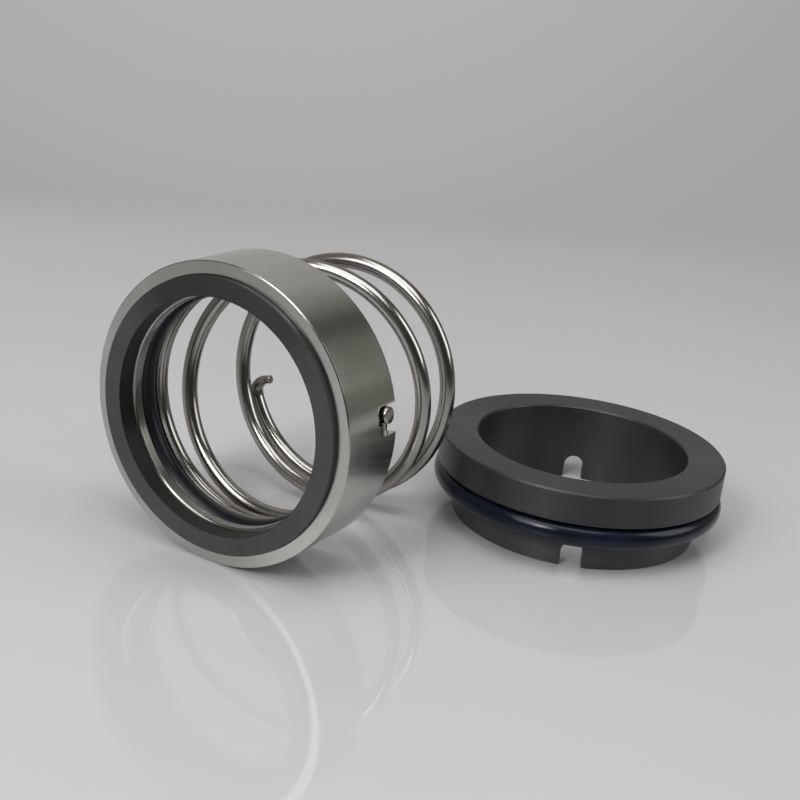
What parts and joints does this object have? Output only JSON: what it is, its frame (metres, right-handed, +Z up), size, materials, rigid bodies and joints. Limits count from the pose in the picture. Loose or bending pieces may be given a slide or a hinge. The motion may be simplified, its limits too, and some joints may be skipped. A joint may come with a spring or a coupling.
{
  "type": "mechanical seal",
  "caption": "Mechanical shaft seal: a sprung rotary head with a ceramic face ring in a notched steel cup, beside its flanged ceramic seat with an O-ring.",
  "frame": {"origin": "centre of the rotary head's bore, in the plane of the retainer's front rim", "axes": "+Y along the head's axis from its front rim towards its spring; +Z up; +X to the head's right, the side the seat lies on"},
  "size_m": [0.1186, 0.119, 0.066],
  "materials": {
    "turned_steel": "fine-turned stainless steel with polished edges",
    "spring_steel": "drawn stainless wire, polished",
    "face_ceramic": "lapped dark grey silicon carbide, matt",
    "seat_ceramic": "ground dark grey silicon carbide, satin",
    "elastomer": "smooth moulded rubber, slightly glossy"
  },
  "bodies": {
    "seat_and_spring": {"seat": "seat_ceramic", "seat_o_ring": "elastomer", "spring": "spring_steel"},
    "sliding_head": {"retainer": "turned_steel", "face_ring": "face_ceramic", "head_o_ring": "elastomer", "thrust_ring": "turned_steel"}
  },
  "joints": [
    {"name": "head_travel", "type": "slide", "parent": "seat_and_spring", "child": "sliding_head", "axis": [0, 1, 0], "range_m": [0, 0.012], "stiffness_N_per_m": 3500, "deforming": ["spring"]}
  ]
}
